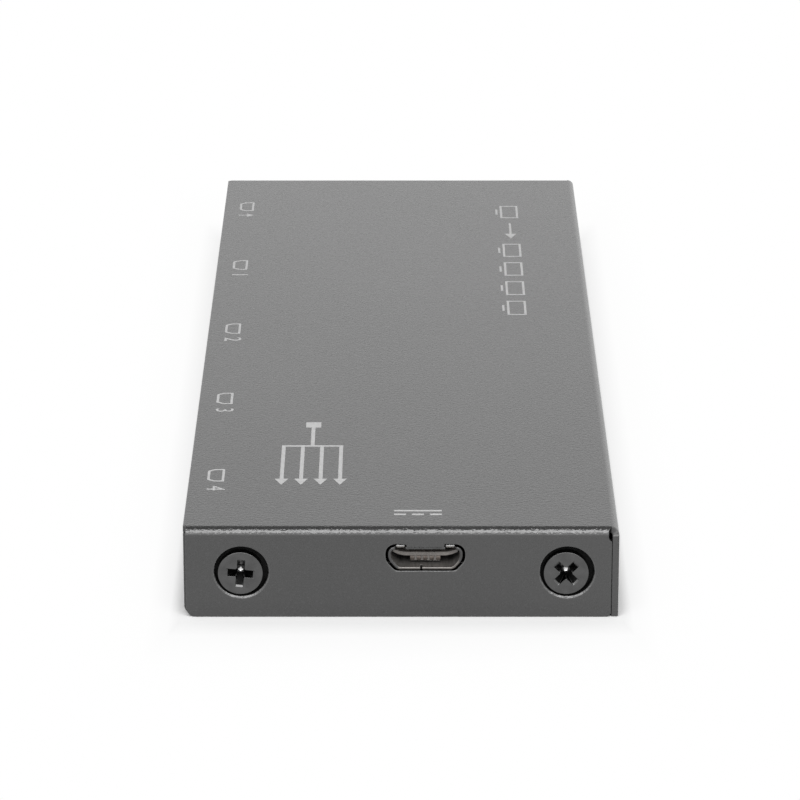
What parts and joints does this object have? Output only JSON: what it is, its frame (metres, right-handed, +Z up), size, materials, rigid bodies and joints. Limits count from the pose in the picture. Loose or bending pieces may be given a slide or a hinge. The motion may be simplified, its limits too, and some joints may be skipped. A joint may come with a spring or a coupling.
{
  "type": "hdmi splitter",
  "caption": "Flat folded-metal video splitter box with a row of video sockets along one long side and a small power socket between the screws of one short end.",
  "frame": {"origin": "centre of the bounding box's bottom, under the middle of the case, on the surface that it lies on", "axes": "+Z up through the top panel, +Y along the case away from the power end, +X across the case toward the plain side; the power socket faces -Y and the video sockets face -X"},
  "size_m": [0.0434, 0.12, 0.0095],
  "materials": {
    "cover_sheet": "dark grey fine metallic texture",
    "base_sheet": "dark grey fine metallic texture",
    "end_screw": "black plated steel",
    "plated_steel": "bright plated steel",
    "socket_shell": "nickel plated sheet",
    "socket_core": "black moulded plastic",
    "contact_gold": "gold plated",
    "insulation": "thin plastic film",
    "standoff_brass": "turned brass",
    "board": "green solder mask",
    "chip": "black moulded package",
    "thermal_pad": "soft blue-grey pad",
    "ferrite": "grey ferrite block",
    "capacitor": "tan ceramic",
    "lamp": "pale lens",
    "light_pipe": "clear plastic"
  },
  "bodies": {
    "root": {"top_cover": "cover_sheet", "front_flap": "cover_sheet", "base_tray": "base_sheet", "clinch_nuts": "plated_steel", "screw_front_left": "end_screw", "screw_front_right": "end_screw", "screw_rear_left": "end_screw", "screw_rear_right": "end_screw", "insulation_sheet": "insulation", "board_standoffs": "standoff_brass", "board_screws": "plated_steel", "circuit_board": "board", "video_out_4_shell": "socket_shell", "video_out_4_core": "socket_core", "video_out_4_contacts": "contact_gold", "video_out_3_shell": "socket_shell", "video_out_3_core": "socket_core", "video_out_3_contacts": "contact_gold", "video_out_2_shell": "socket_shell", "video_out_2_core": "socket_core", "video_out_2_contacts": "contact_gold", "video_out_1_shell": "socket_shell", "video_out_1_core": "socket_core", "video_out_1_contacts": "contact_gold", "video_in_shell": "socket_shell", "video_in_core": "socket_core", "video_in_contacts": "contact_gold", "power_shell": "socket_shell", "power_core": "socket_core", "power_contacts": "contact_gold", "splitter_chip": "chip", "splitter_leads": "plated_steel", "thermal_pad": "thermal_pad", "control_chip": "chip", "memory_chips": "chip", "power_inductors": "ferrite", "regulator_chips": "chip", "clock_crystal": "plated_steel", "capacitors": "capacitor", "status_lamps": "lamp", "light_pipes": "light_pipe"}
  },
  "joints": []
}
